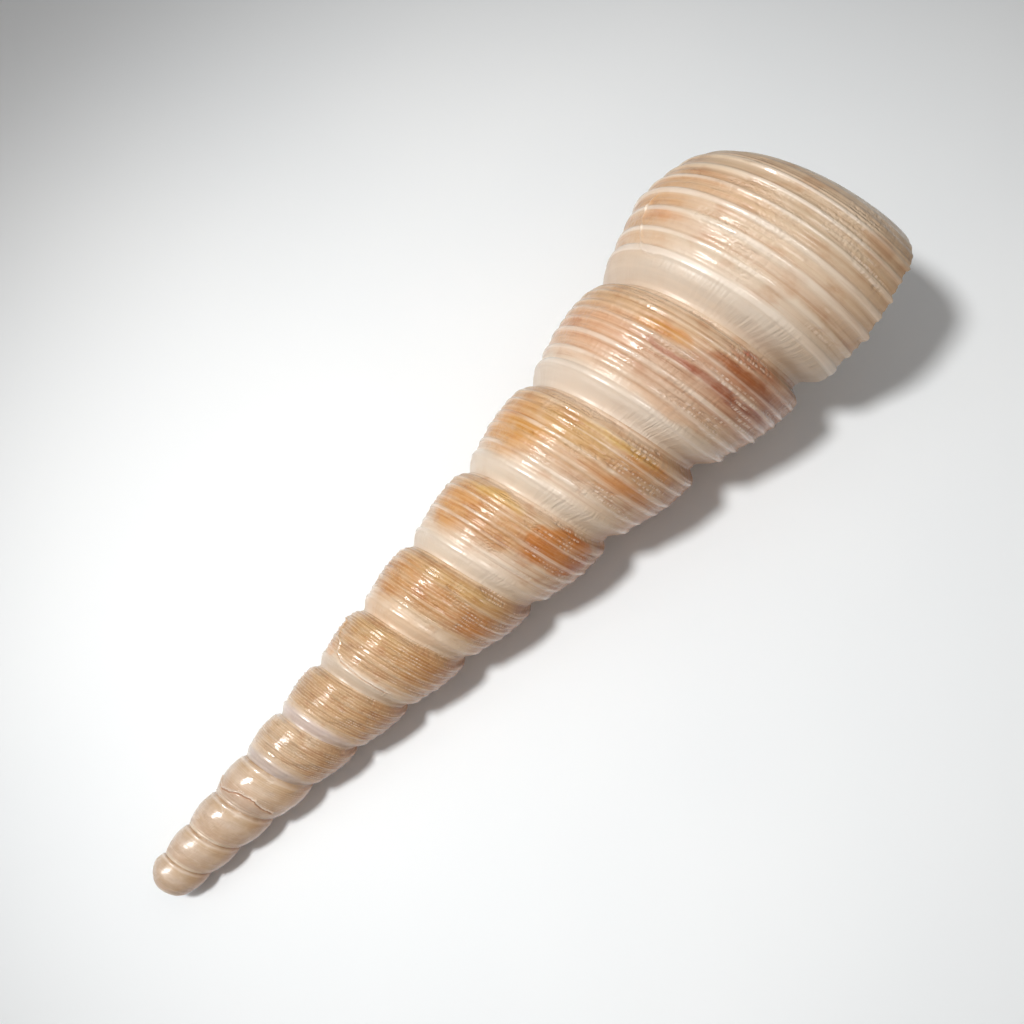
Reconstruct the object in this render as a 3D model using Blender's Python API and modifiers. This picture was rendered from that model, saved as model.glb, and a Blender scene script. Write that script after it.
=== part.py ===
"""Screw shell: a tall, dextral sea snail shell with a worn tip, lying on its side.

The shell grows along a spiral. A "turn" counts whole whorls: turn 0 is where the last
suture faces the shell's upper side, negative turns lead back to the tip, and the lip is
less than a quarter turn further on. Along the shell's axis, distances are taken from the
point where the spiral would begin if the tip were not worn away.
"""

import bmesh
import bpy
from math import cos, exp, log, pi, radians, sin, sqrt
from mathutils import Vector

# Driving dimensions (metres, degrees, turns)
SUTURE_ALONG = 0.130          # spiral origin to the suture at turn 0
GROWTH = 1.1265               # each whorl's height over the one before it
GROWTH_GAIN = 0.00147         # how the growth quickens with age
SUTURE_SLOPE = 0.0923         # suture radius over its distance from the origin, turn 0
SLOPE_GAIN = 0.0056           # change of that slope per turn
SLOPE_CURVE = 0.00018

FIRST_TURN = -12.2            # the spiral starts inside the part that is worn away
LIP_TURN = 0.24               # where the lip meets the suture
LIP_LAG = 0.12                # the lip's lower end stays behind by this part of a turn
LAG_TURNS = 0.55              # the growth lines lean over during these last turns
STEPS = 20                    # facets in one turn

# Outline of a whorl between two sutures: place between them, then how far it stands
# out from the straight line, over the whorl's height: on the spire, and at the lip
WHORL_OUTLINE = (
    (0.000, 0.000, 0.000),
    (0.050, 0.018, 0.025),
    (0.110, 0.064, 0.074),
    (0.165, 0.080, 0.096),    # first strong cord
    (0.220, 0.068, 0.090),
    (0.330, 0.088, 0.120),
    (0.430, 0.120, 0.152),    # second strong cord
    (0.520, 0.114, 0.156),
    (0.640, 0.128, 0.170),    # widest cord
    (0.760, 0.122, 0.152),
    (0.880, 0.110, 0.128),    # keel above the suture
    (0.940, 0.080, 0.110),
    (0.975, 0.018, 0.094),
    (1.000, 0.000, 0.078),
)
SPIRE_RELIEF = 0.82           # the early whorls are flatter than the outline
SPIRE_RELIEF_END = -3.0
FULL_RELIEF_TURN = -1.3
SWELL_TURNS = 0.5             # the last whorl takes on its own outline in these turns

# Underside of the last whorl: beyond the wall's lower edge over the whorl's height,
# then its radius over the radius of that edge
BASE_OUTLINE = (
    (0.05, 0.960),
    (0.10, 0.905),
    (0.15, 0.825),
    (0.19, 0.720),
    (0.22, 0.600),
    (0.24, 0.450),
    (0.25, 0.260),
    (0.25, 0.000),
)

# Worn tip: a rounded end
TIP_ALONG = 0.0414            # spiral origin to the very tip
TIP_RADIUS = 0.0029
TIP_DEPTH = 0.0030
TIP_ARC_STEPS = 5
TIP_CUTTER_RADIUS = 0.008
TIP_CUTTER_START = 0.028

# Hollow of the aperture
HOLLOW_SCALE = 0.84           # the hollow's section over the whorl's own section
HOLLOW_END_SCALE = 0.45
HOLLOW_STEPS = 16             # how many facets the hollow reaches back from the lip

# Resting pose on its side
TILT = 7.54                   # the axis rises towards the wide end
ROLL = 14.05

SHELL_COLOUR = (0.72, 0.50, 0.33, 1.0)
SHELL_ROUGHNESS = 0.28
MERGE_DISTANCE = 1e-7
WELD_DISTANCE = 1e-5


def smooth_step(x):
    x = min(max(x, 0.0), 1.0)
    return x * x * (3.0 - 2.0 * x)


def suture(turn):
    """The suture's distance along the axis and its radius."""
    along = SUTURE_ALONG * exp(log(GROWTH) * turn + GROWTH_GAIN * turn * turn)
    slope = SUTURE_SLOPE + SLOPE_GAIN * turn + SLOPE_CURVE * turn * turn
    return along, along * slope


def leaning_turn(turn, place):
    """Growth lines near the lip lean back, most of all over the whorl's upper half."""
    lean = smooth_step((turn - LIP_TURN + LAG_TURNS) / LAG_TURNS)
    return turn - LIP_LAG * lean * (1.0 - (1.0 - place) ** 2)


def at_meridian(turn, along, radius):
    angle = 2.0 * pi * turn
    return Vector((along, -radius * sin(angle), radius * cos(angle)))


def relief_at(turn):
    span = FULL_RELIEF_TURN - SPIRE_RELIEF_END
    part = min(max((turn - SPIRE_RELIEF_END) / span, 0.0), 1.0)
    return SPIRE_RELIEF + (1.0 - SPIRE_RELIEF) * part


def wall_place(turn, outline_row):
    """A point of the whorl's outline: turn, distance along the axis, radius, height."""
    place, spire_bulge, last_bulge = outline_row
    here = leaning_turn(turn, place)
    along, radius = suture(here)
    next_along, next_radius = suture(here + 1.0)
    height = next_along - along
    swell = smooth_step((here + 1.0 - LIP_TURN) / SWELL_TURNS)
    bulge = (spire_bulge + (last_bulge - spire_bulge) * swell) * relief_at(here)
    straight = radius + (next_radius - radius) * place
    return here, along + height * place, straight + height * bulge, height


def wall_section(turn):
    """Points of one growth line, from a suture to the wall's lower edge."""
    return [at_meridian(*wall_place(turn, row)[:3]) for row in WHORL_OUTLINE]


def base_section(turn):
    """Points of one growth line on the underside, from the wall's lower edge to the axis."""
    here, along, radius, height = wall_place(turn, WHORL_OUTLINE[-1])
    points = [at_meridian(here, along, radius)]
    for beyond, narrowing in BASE_OUTLINE:
        points.append(at_meridian(here, along + height * beyond, radius * narrowing))
    return points


def tube_section(turn):
    """The whole section of the last whorl: wall, underside and the whorl above it."""
    return wall_section(turn) + base_section(turn)[1:] + base_section(turn - 1.0)[-2:0:-1]


def hollow_section(turn, scale):
    points = tube_section(turn)
    centre = sum(points, Vector()) / len(points)
    return [centre + (point - centre) * scale for point in points]


def grow(bm, sections, closed=False):
    """Draw the first section as a chain of edges and extrude it from section to section."""
    place = bm.verts.layers.int.get("place") or bm.verts.layers.int.new("place")
    chain = [bm.verts.new(point) for point in sections[0]]
    for index, vert in enumerate(chain):
        vert[place] = index
    pairs = list(zip(chain, chain[1:]))
    if closed:
        pairs.append((chain[-1], chain[0]))
    edges = [bm.edges.new(pair) for pair in pairs]
    for section in sections[1:]:
        grown = bmesh.ops.extrude_edge_only(bm, edges=edges)["geom"]
        verts = {item for item in grown if isinstance(item, bmesh.types.BMVert)}
        edges = [item for item in grown
                 if isinstance(item, bmesh.types.BMEdge) and verts.issuperset(item.verts)]
        for vert in verts:
            vert.co = section[vert[place]]


def finish_mesh(bm, name):
    """Close the open ends, merge the seams and make a mesh of it."""
    bmesh.ops.remove_doubles(bm, verts=bm.verts, dist=MERGE_DISTANCE)
    rims = [edge for edge in bm.edges if edge.is_boundary]
    caps = bmesh.ops.holes_fill(bm, edges=rims, sides=0)["faces"]
    bmesh.ops.poke(bm, faces=caps)
    bmesh.ops.recalc_face_normals(bm, faces=bm.faces)
    mesh = bpy.data.meshes.new(name)
    bm.to_mesh(mesh)
    bm.free()
    return mesh


def turns_between(first, last):
    count = round((last - first) * STEPS)
    return [last - step / STEPS for step in range(count, -1, -1)]


def make_whorls():
    """All whorls, the underside of the last one, and a flat end at the aperture."""
    bm = bmesh.new()
    grow(bm, [wall_section(turn) for turn in turns_between(FIRST_TURN, LIP_TURN)])
    grow(bm, [base_section(turn) for turn in turns_between(LIP_TURN - 1.0, LIP_TURN)])
    return finish_mesh(bm, "screw_shell")


def make_hollow():
    """The space inside the last whorl, reaching out past the lip."""
    sections = []
    for step in range(HOLLOW_STEPS, -2, -1):
        part = max(step, 0) / HOLLOW_STEPS
        scale = HOLLOW_SCALE + (HOLLOW_END_SCALE - HOLLOW_SCALE) * part ** 3
        sections.append(hollow_section(LIP_TURN - step / STEPS, scale))
    bm = bmesh.new()
    grow(bm, sections, closed=True)
    return finish_mesh(bm, "aperture_hollow")


def make_worn_tip():
    """Turned profile around what is worn away from the tip."""
    outline = [(0.0, TIP_ALONG)]
    for step in range(1, TIP_ARC_STEPS + 1):
        part = step / TIP_ARC_STEPS
        outline.append((TIP_RADIUS * sqrt(1.0 - (1.0 - part) ** 2), TIP_ALONG + TIP_DEPTH * part))
    outline.append((TIP_CUTTER_RADIUS, TIP_ALONG + TIP_DEPTH))
    outline.append((TIP_CUTTER_RADIUS, TIP_CUTTER_START))
    outline.append((0.0, TIP_CUTTER_START))
    mesh = bpy.data.meshes.new("worn_tip")
    chain = [(index, index + 1) for index in range(len(outline) - 1)]
    half_facet = pi / STEPS
    mesh.from_pydata(
        [(radius * cos(half_facet), radius * sin(half_facet), along) for radius, along in outline],
        chain, [])
    return mesh


def clear_scene():
    for item in list(bpy.data.objects):
        bpy.data.objects.remove(item, do_unlink=True)


def new_collection(name):
    collection = bpy.data.collections.new(name)
    bpy.context.scene.collection.children.link(collection)
    return collection


def add_object(name, data, collection, parent=None):
    item = bpy.data.objects.new(name, data)
    collection.objects.link(item)
    item.parent = parent
    return item


def as_cutter(item):
    item.hide_render = True
    item.display_type = "WIRE"


def cut(item, cutter):
    modifier = item.modifiers.new(cutter.name, "BOOLEAN")
    modifier.operation = "DIFFERENCE"
    modifier.solver = "EXACT"
    modifier.object = cutter


def shell_material():
    material = bpy.data.materials.new("polished_shell")
    material.use_nodes = True
    shader = material.node_tree.nodes["Principled BSDF"]
    shader.inputs["Base Color"].default_value = SHELL_COLOUR
    shader.inputs["Roughness"].default_value = SHELL_ROUGHNESS
    shader.inputs["Metallic"].default_value = 0.0
    return material


def set_down(item, axis_frame):
    """Shift the frame until the shell's box stands on the origin."""
    bpy.context.view_layer.update()
    graph = bpy.context.evaluated_depsgraph_get()
    evaluated = item.evaluated_get(graph)
    corners = [evaluated.matrix_world @ vert.co for vert in evaluated.data.vertices]
    lowest = [min(corner[axis] for corner in corners) for axis in range(3)]
    highest = [max(corner[axis] for corner in corners) for axis in range(3)]
    axis_frame.location = (
        -(lowest[0] + highest[0]) / 2.0,
        -(lowest[1] + highest[1]) / 2.0,
        -lowest[2])


def main():
    clear_scene()
    parts = new_collection("screw_shell")
    cutters = new_collection("cutters")

    axis_frame = add_object("axis_frame", None, parts)
    axis_frame.rotation_euler = (radians(ROLL), -radians(TILT), 0.0)

    shell = add_object("screw_shell", make_whorls(), parts, axis_frame)
    shell.data.materials.append(shell_material())

    tip = add_object("worn_tip", make_worn_tip(), cutters, axis_frame)
    tip.rotation_euler = (0.0, radians(90.0), 0.0)
    turning = tip.modifiers.new("turning", "SCREW")
    turning.steps = STEPS
    turning.render_steps = STEPS
    turning.use_merge_vertices = True
    turning.merge_threshold = MERGE_DISTANCE
    as_cutter(tip)

    hollow = add_object("aperture_hollow", make_hollow(), cutters, axis_frame)
    as_cutter(hollow)

    cut(shell, tip)
    cut(shell, hollow)
    weld = shell.modifiers.new("weld", "WELD")
    weld.merge_threshold = WELD_DISTANCE
    shell.data.shade_smooth()
    shell.data.set_sharp_from_angle(angle=radians(35.0))
    set_down(shell, axis_frame)


main()
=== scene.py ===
"""Screw shell: its fine surface, its colours, the floor, the light and the camera.

The shell is drawn by the same spiral as the solid model. A "turn" counts whole whorls from
the last suture on the upper side, and a "place" runs over a whorl from its suture (0) to
the next one (1), and on over the underside of the last whorl.
"""

import bpy
import math
import numpy as np
from mathutils import Matrix, Vector


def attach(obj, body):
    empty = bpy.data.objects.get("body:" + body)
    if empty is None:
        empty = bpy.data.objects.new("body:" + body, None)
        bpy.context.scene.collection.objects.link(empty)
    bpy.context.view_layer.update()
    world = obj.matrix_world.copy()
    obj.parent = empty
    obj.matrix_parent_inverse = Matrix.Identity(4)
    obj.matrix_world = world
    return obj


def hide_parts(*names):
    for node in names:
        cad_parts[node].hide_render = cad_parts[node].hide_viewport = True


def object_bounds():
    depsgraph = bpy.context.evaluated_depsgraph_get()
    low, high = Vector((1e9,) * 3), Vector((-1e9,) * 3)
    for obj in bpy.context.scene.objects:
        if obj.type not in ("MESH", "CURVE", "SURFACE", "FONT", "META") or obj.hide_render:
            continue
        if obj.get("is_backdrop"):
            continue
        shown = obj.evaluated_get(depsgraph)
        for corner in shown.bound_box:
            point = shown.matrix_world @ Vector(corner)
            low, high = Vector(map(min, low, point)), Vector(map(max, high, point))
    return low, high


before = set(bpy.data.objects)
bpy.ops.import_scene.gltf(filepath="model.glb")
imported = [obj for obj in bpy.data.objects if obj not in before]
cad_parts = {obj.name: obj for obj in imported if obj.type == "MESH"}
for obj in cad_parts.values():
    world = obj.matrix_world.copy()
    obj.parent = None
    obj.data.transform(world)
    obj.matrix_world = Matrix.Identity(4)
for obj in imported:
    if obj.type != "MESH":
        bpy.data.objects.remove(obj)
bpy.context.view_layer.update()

# Spiral of the solid model (metres, turns)
SUTURE_ALONG = 0.130
GROWTH = 1.1265
GROWTH_GAIN = 0.00147
SUTURE_SLOPE = 0.0923
SLOPE_GAIN = 0.0056
SLOPE_CURVE = 0.00018
FIRST_TURN = -11.4
ROUND_TO_ALONG = 6.0          # a turn is about six whorl heights round
LIP_TURN = 0.24
LIP_LAG = 0.12
LAG_TURNS = 0.55
SWELL_TURNS = 0.5
SPIRE_RELIEF = 0.82
SPIRE_RELIEF_END = -3.0
FULL_RELIEF_TURN = -1.3
TIP_ALONG = 0.0414
TIP_RADIUS = 0.0029
TIP_DEPTH = 0.0030

# Where the shell's axis lies in the part's frame: spiral origin (metres), angles (degrees)
AXIS_ORIGIN = Vector((-0.09639, -0.00013, -0.00309))
AXIS_TILT = 7.54
AXIS_ROLL = 14.05

# Outline of a whorl: place, then the bulge over the whorl's height on the spire's underside
# and upper side, at the lip and on the first whorls
WHORL_OUTLINE = np.array((
    (0.000, 0.000, -0.030, -0.030, 0.010),
    (0.045, 0.004, -0.012, -0.006, 0.028),
    (0.085, 0.026, 0.026, 0.040, 0.044),
    (0.120, 0.054, 0.055, 0.072, 0.058),
    (0.165, 0.074, 0.073, 0.091, 0.072),
    (0.220, 0.069, 0.068, 0.088, 0.086),
    (0.330, 0.093, 0.092, 0.120, 0.104),
    (0.430, 0.111, 0.110, 0.145, 0.116),
    (0.520, 0.120, 0.118, 0.158, 0.122),
    (0.640, 0.126, 0.124, 0.167, 0.117),
    (0.740, 0.120, 0.118, 0.154, 0.104),
    (0.820, 0.114, 0.108, 0.136, 0.086),
    (0.880, 0.108, 0.088, 0.120, 0.066),
    (0.920, 0.099, 0.060, 0.107, 0.046),
    (0.942, 0.078, 0.034, 0.100, 0.034),
    (0.956, 0.042, 0.008, 0.094, 0.026),
    (0.975, 0.012, -0.018, 0.088, 0.016),
    (1.000, 0.000, -0.030, 0.078, 0.010),
))
OUTLINE_SOFTNESS = 0.008      # how far a corner of the outline is rounded, in places
AT_SUTURE = 0.03              # places beside a suture where the corner is sharp and cords begin

# Underneath: turn, then how deep the sutures lie there, over the whorl's height
NOTCH_DEPTH = np.array((
    (-9.0, 0.045),
    (-6.0, 0.030),
    (-4.0, 0.012),
    (-2.0, 0.004),
    (-0.5, 0.034),
))
NOTCH_WIDTH = 0.06
UNDER_FULLER = 0.042          # the smaller whorls stand out further underneath
FULLER_FROM = -1.6
FULLER_AT = -2.6
UNDER_FROM = 0.40             # sine of the angle round the axis where the underside begins
UNDER_AT = 0.90
TIP_SHAPE_FROM = -6.2
TIP_SHAPE_AT = -8.0
EDGE_WANDER = 0.018           # how much earlier the lower edge comes on one side, in places
EDGE_WANDER_FROM = 0.80
EDGE_WANDER_AT = 0.90

# Underside: beyond the wall's lower edge, then radius over that edge's radius
BASE_OUTLINE = np.array((
    (0.00, 1.000),
    (0.05, 0.960),
    (0.10, 0.905),
    (0.15, 0.825),
    (0.19, 0.720),
    (0.22, 0.600),
    (0.24, 0.450),
    (0.25, 0.260),
    (0.25, 0.000),
))

# Cords: place on the spire, on the whorl before the last and on the last, width, then the
# heights there, over the whorl's height
CORDS = (
    (0.185, 0.185, 0.215, 0.026, 0.011, 0.014, 0.017),
    (0.245, 0.240, 0.275, 0.010, 0.003, 0.005, 0.004),
    (0.312, 0.312, 0.345, 0.019, 0.013, 0.017, 0.015),
    (0.385, 0.388, 0.410, 0.011, 0.004, 0.006, 0.004),
    (0.472, 0.459, 0.485, 0.021, 0.015, 0.018, 0.017),
    (0.537, 0.565, 0.550, 0.013, 0.005, 0.010, 0.005),
    (0.598, 0.655, 0.615, 0.020, 0.015, 0.011, 0.020),
    (0.675, 0.732, 0.683, 0.014, 0.005, 0.012, 0.005),
    (0.750, 0.785, 0.745, 0.016, 0.014, 0.003, 0.015),
    (0.820, 0.839, 0.805, 0.013, 0.004, 0.012, 0.004),
    (0.870, 0.890, 0.865, 0.016, 0.010, 0.004, 0.014),
    (0.945, 0.939, 0.965, 0.014, 0.004, 0.010, 0.013),
)
# Cords of the first whorls: place, width and height
TIP_CORDS = (
    (0.030, 0.014, 0.014),
    (0.095, 0.016, 0.008),
    (0.925, 0.018, 0.012),
)
BEFORE_LAST_FROM = -1.75      # turns where the cords change to those before the last whorl
BEFORE_LAST_AT = -1.40
LAST_FROM = -0.80             # and to those of the last whorl
LAST_AT = -0.60
CORDS_FADE_FROM = -6.4
CORDS_GONE_AT = -7.8
CORD_WIDER = 1.15             # the cords are flat on top, and this much wider
CORD_DEPTH = 0.0105           # the furrows between the cords lie this far inside
CORD_DRIFT = 0.004            # how far a cord wanders, in places
CORD_UNEVEN = 0.30            # how much a cord's height changes along it
CREST_FULL = 1.0 / 60.0       # relief, over the whorl's height, of a full crest
SWELL_HEIGHT = 0.0026         # broad unevenness of the whole wall

# Cords of the underside
BASE_CORDS = (1.05, 1.11, 1.17, 1.22)
BASE_CORD_WIDTH = 0.014
BASE_CORD_HEIGHT = 0.008
BASE_CORDS_END = 0.6          # how far down the underside the cords reach
BASE_PLACE_GAIN = 0.1         # keeps places apart where the underside runs flat to the axis

# Healed breaks in the growing edge: lines of (turn, place), width and height over the whorl
SCARS = (
    (((-4.915, 0.203), (-4.98, 0.212), (-5.03, 0.217), (-5.10, 0.247), (-5.13, 0.31),
      (-5.146, 0.435), (-5.18, 0.494), (-5.20, 0.72), (-5.235, 0.80)), 0.013, 0.026),
    (((-8.215, 0.36), (-8.196, 0.278), (-8.146, 0.208), (-8.096, 0.257), (-8.046, 0.366),
      (-7.996, 0.400), (-7.971, 0.389), (-7.921, 0.321), (-7.871, 0.310)), 0.020, 0.034),
    (((-0.178, 0.58), (-0.184, 0.53), (-0.182, 0.412), (-0.171, 0.343), (-0.170, 0.310),
      (-0.157, 0.237), (-0.145, 0.198), (-0.124, 0.180)), 0.008, 0.012),
)
SCAR_UNEVEN = 0.6             # how far the line strays, over its width
SCAR_FURROW = 1.8             # how far behind the line its furrow lies, over its width
FURROW_SHARE = 0.6            # the furrow's depth over the line's height
SCAR_FULL = 0.026             # a scar of this height has its full colour

# Ragged edge of the lip: reach in turns and the grain of its noise
RAGGED = (
    (0.0035, (26.0, 1.0, 21)),
    (0.0020, (70.0, 1.0, 22)),
)
RAGGED_TURNS = 0.10
RAGGED_PLACES = 0.08
TUCK = 0.006                  # how far the wall's lower edge runs on under the next whorl
TUCK_FROM = 0.97
TUCK_AT = 0.99
TUCKED_PLACE = 0.9999         # only the last point of a row is tucked in
COVER_TURNS = 0.02

# Grain of the noises: bumps for each unit of the two coordinates, and a seed
CORD_DRIFT_GRAIN = (5.0, 3.1, 11)
CORD_UNEVEN_GRAIN = (7.0, 2.3, 12)
SWELL_GRAIN = (9.0, 5.0, 14)
SCAR_TURN_GRAIN = (32.0, 90.0, 31)
SCAR_PLACE_GRAIN = (20.0, 130.0, 32)
LATTICE = 64                  # the noise repeats after this many bumps

# Inside of the last whorl: closed loops from the rim of the lip back, and their scale
RIM_SCALE = 0.975
RIM_REACH = 0.9
THROAT_SCALE = 0.945
THROAT_AT = 0.004             # turns behind the lip where the throat's first loop lies
THROAT_SHARE = 0.65
THICKER_BY = 0.075            # the wall grows this much thicker inside
THICK_TURNS = 0.12
THROAT_TURNS = 1.3
THROAT_ROWS = 50
ROW_SPREAD = 1.3              # the loops lie closer together near the lip
END_SCALE = 0.5
END_POWER = 4
RIM_PASSES = 4
THROAT_PASSES = 26

# Mesh density: until which turn, then rows a turn; and first turn, last turn and step of
# the extra rows at the healed breaks
ROWS_PER_TURN = ((-2.4, 88), (-6.0, 60), (FIRST_TURN, 40))
SCAR_ROWS = ((-5.24, -5.10, 0.0028), (-8.22, -7.86, 0.0050), (-0.19, -0.12, 0.0018))
SAME_TURN = 1e-4              # rows nearer than this are one
WALL_POINTS = 104
WALL_CROWDING = 0.035         # how far the points move towards the sutures, in places
BASE_POINTS = 36
NO_SPREAD = 1e-6              # faces smaller than this are left out (metres)

ATTRIBUTES = ("turn", "place", "crest", "scar")


def smooth_step(x):
    x = np.clip(x, 0.0, 1.0)
    return x * x * (3.0 - 2.0 * x)


def fade_in(value, start, end):
    """0 before start, 1 after end and smooth between them. end may be the lower one."""
    return smooth_step((value - start) / (end - start))


def lattice_noise(x, y, grain):
    """Smooth noise from -1 to 1."""
    x_bumps, y_bumps, seed = grain
    table = np.random.default_rng(seed).uniform(-1.0, 1.0, (LATTICE, LATTICE))
    x, y = np.broadcast_arrays(np.asarray(x, float) * x_bumps, np.asarray(y, float) * y_bumps)
    column = np.floor(x).astype(int)
    row = np.floor(y).astype(int)
    across = smooth_step(x - column)
    down = smooth_step(y - row)

    def knot(right, below):
        return table[(column + right) % LATTICE, (row + below) % LATTICE]

    near = knot(0, 0) * (1 - across) + knot(1, 0) * across
    far = knot(0, 1) * (1 - across) + knot(1, 1) * across
    return near * (1 - down) + far * down


def suture(turn):
    """The suture's distance along the axis and its radius."""
    along = SUTURE_ALONG * np.exp(np.log(GROWTH) * turn + GROWTH_GAIN * turn ** 2)
    slope = SUTURE_SLOPE + SLOPE_GAIN * turn + SLOPE_CURVE * turn ** 2
    return along, along * slope


def leaning_turn(turn, place):
    """Growth lines near the lip lean back, most of all over the whorl's upper half."""
    lean = fade_in(turn, LIP_TURN - LAG_TURNS, LIP_TURN)
    return turn - LIP_LAG * lean * (1.0 - (1.0 - np.minimum(place, 1.0)) ** 2)


def relief_at(turn):
    """How strongly the whorls bulge, which grows towards the last one."""
    part = np.clip((turn - SPIRE_RELIEF_END) / (FULL_RELIEF_TURN - SPIRE_RELIEF_END), 0.0, 1.0)
    return SPIRE_RELIEF + (1.0 - SPIRE_RELIEF) * part


def outline(place, column):
    """One column of the whorl's outline at these places, with its corners rounded."""
    places = WHORL_OUTLINE[:, 0]
    bulges = WHORL_OUTLINE[:, column]
    reach = np.linspace(-3.0, 3.0, 61)
    weights = np.exp(-0.5 * reach ** 2)
    weights /= weights.sum()
    shifts = reach * OUTLINE_SOFTNESS
    rounded = sum(w * np.interp(place + s, places, bulges) for w, s in zip(weights, shifts))
    sharp = np.interp(place, places, bulges)
    return sharp + (rounded - sharp) * np.clip(place / AT_SUTURE, 0.0, 1.0)


def cord_relief(turn, place):
    """How far the cords stand out, over the whorl's height."""
    before_last = fade_in(turn, BEFORE_LAST_FROM, BEFORE_LAST_AT)
    last = fade_in(turn, LAST_FROM, LAST_AT)
    shown = 1.0 - fade_in(turn, CORDS_FADE_FROM, CORDS_GONE_AT)
    relief = np.zeros(np.broadcast(turn, place).shape)
    for index, (on_spire, on_before, on_last, width, *heights) in enumerate(CORDS):
        centre = on_spire + (on_before - on_spire) * before_last + (on_last - on_before) * last
        centre = centre + CORD_DRIFT * lattice_noise(turn, index, CORD_DRIFT_GRAIN)
        spire, before, final = heights
        height = spire + (before - spire) * before_last + (final - before) * last
        height = height * (1.0 + CORD_UNEVEN * lattice_noise(turn, index, CORD_UNEVEN_GRAIN))
        relief += shown * height * np.exp(-((place - centre) / (CORD_WIDER * width)) ** 4)
    for centre, width, height in TIP_CORDS:
        relief += (1.0 - shown) * height * np.exp(-((place - centre) / width) ** 2)
    swell = SWELL_HEIGHT * lattice_noise(turn, place, SWELL_GRAIN)
    return relief - CORD_DEPTH * shown + swell


def away_from(line, turn, place, stray):
    """Distance from a line of (turn, place), over the whorl's height, with an uneven edge."""
    turn_shift = stray * lattice_noise(place, turn, SCAR_TURN_GRAIN)
    place_shift = stray * lattice_noise(place, turn, SCAR_PLACE_GRAIN)
    away = np.full(turn.shape, np.inf)
    for (turn_a, place_a), (turn_b, place_b) in zip(line, line[1:]):
        step_x = (turn_b - turn_a) * ROUND_TO_ALONG
        step_y = place_b - place_a
        x = (turn - turn_a) * ROUND_TO_ALONG + turn_shift
        y = place - place_a + place_shift
        part = np.clip((x * step_x + y * step_y) / (step_x ** 2 + step_y ** 2), 0.0, 1.0)
        away = np.minimum(away, np.hypot(x - part * step_x, y - part * step_y))
    return away


def scar_relief(turn, place):
    """Raised thin lines with a furrow on the tip's side, over the whorl's height."""
    turn, place = np.broadcast_arrays(turn, place)
    relief = np.zeros(turn.shape)
    for line, width, height in SCARS:
        stray = SCAR_UNEVEN * width
        ridge = np.exp(-(away_from(line, turn, place, stray) / width) ** 2)
        behind = away_from(line, turn, place + SCAR_FURROW * width, stray)
        furrow = np.exp(-(behind / width) ** 2) * (1.0 - ridge)
        relief += height * (ridge - FURROW_SHARE * furrow)
    return relief


def wall_surface(turn, place):
    """Turn, distance along the axis and radius of the wall without its cords, and its height."""
    here = leaning_turn(turn, place)
    along, radius = suture(here)
    next_along, next_radius = suture(here + 1.0)
    height = next_along - along
    swell = smooth_step((here + 1.0 - LIP_TURN) / SWELL_TURNS)
    low = np.sin(2.0 * math.pi * turn)
    wander = EDGE_WANDER * low * fade_in(place, EDGE_WANDER_FROM, EDGE_WANDER_AT)
    at = np.minimum(place + wander * (1.0 - swell), 1.0)
    under, upper, lip, tip = (outline(at, column) for column in (1, 2, 3, 4))
    under_side = fade_in(low, UNDER_FROM, UNDER_AT)
    spire = upper + (under - upper) * under_side
    bulge = (spire + (lip - spire) * swell) * relief_at(here)
    bulge = bulge + (tip - bulge) * fade_in(turn, TIP_SHAPE_FROM, TIP_SHAPE_AT)
    along_turn = turn + place
    depth = np.interp(along_turn, NOTCH_DEPTH[:, 0], NOTCH_DEPTH[:, 1])
    notch = np.exp(-(np.minimum(place, 1.0 - place) / NOTCH_WIDTH) ** 2)
    fuller = UNDER_FULLER * fade_in(along_turn, FULLER_FROM, FULLER_AT)
    bulge = bulge + under_side * (fuller - depth * notch) * (1.0 - swell)
    plain = radius + (next_radius - radius) * place + height * bulge
    return here, along + height * place, plain, height


def worn(along, radius):
    """Nothing stands out of the dome of the worn tip."""
    part = np.clip((along - TIP_ALONG) / TIP_DEPTH, 0.0, 1.0)
    dome = TIP_RADIUS * np.sqrt(np.clip(1.0 - (1.0 - part) ** 2, 0.0, 1.0))
    dome = np.where(along > TIP_ALONG + TIP_DEPTH, np.inf, dome)
    return np.maximum(along, TIP_ALONG), np.minimum(radius, dome)


def at_meridian(turn, along, radius):
    """Points at a turn's angle round the axis, which is the x axis here."""
    angle, along, radius = np.broadcast_arrays(2.0 * math.pi * turn, along, radius)
    return np.stack((along, -radius * np.sin(angle), radius * np.cos(angle)), axis=-1)


def axis_matrix():
    roll = Matrix.Rotation(math.radians(AXIS_ROLL), 4, "X")
    tilt = Matrix.Rotation(-math.radians(AXIS_TILT), 4, "Y")
    return Matrix.Translation(AXIS_ORIGIN) @ tilt @ roll


def rows_of_turns():
    """The turns at which the wall has a row of points, closer together near the lip."""
    turns = [LIP_TURN]
    for until, rows in ROWS_PER_TURN:
        while turns[-1] - 1.0 / rows > until:
            turns.append(turns[-1] - 1.0 / rows)
    turns.append(LIP_TURN - 1.0)
    for first, last, step in SCAR_ROWS:
        turns.extend(np.arange(first, last, step))
    turns = np.array(sorted(turns))
    return turns[np.append(True, np.diff(turns) > SAME_TURN)]


def wall_places():
    """Places across a whorl, closer together at both sutures."""
    even = np.linspace(0.0, 1.0, WALL_POINTS)
    return even - WALL_CROWDING * np.sin(2.0 * math.pi * even)


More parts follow.
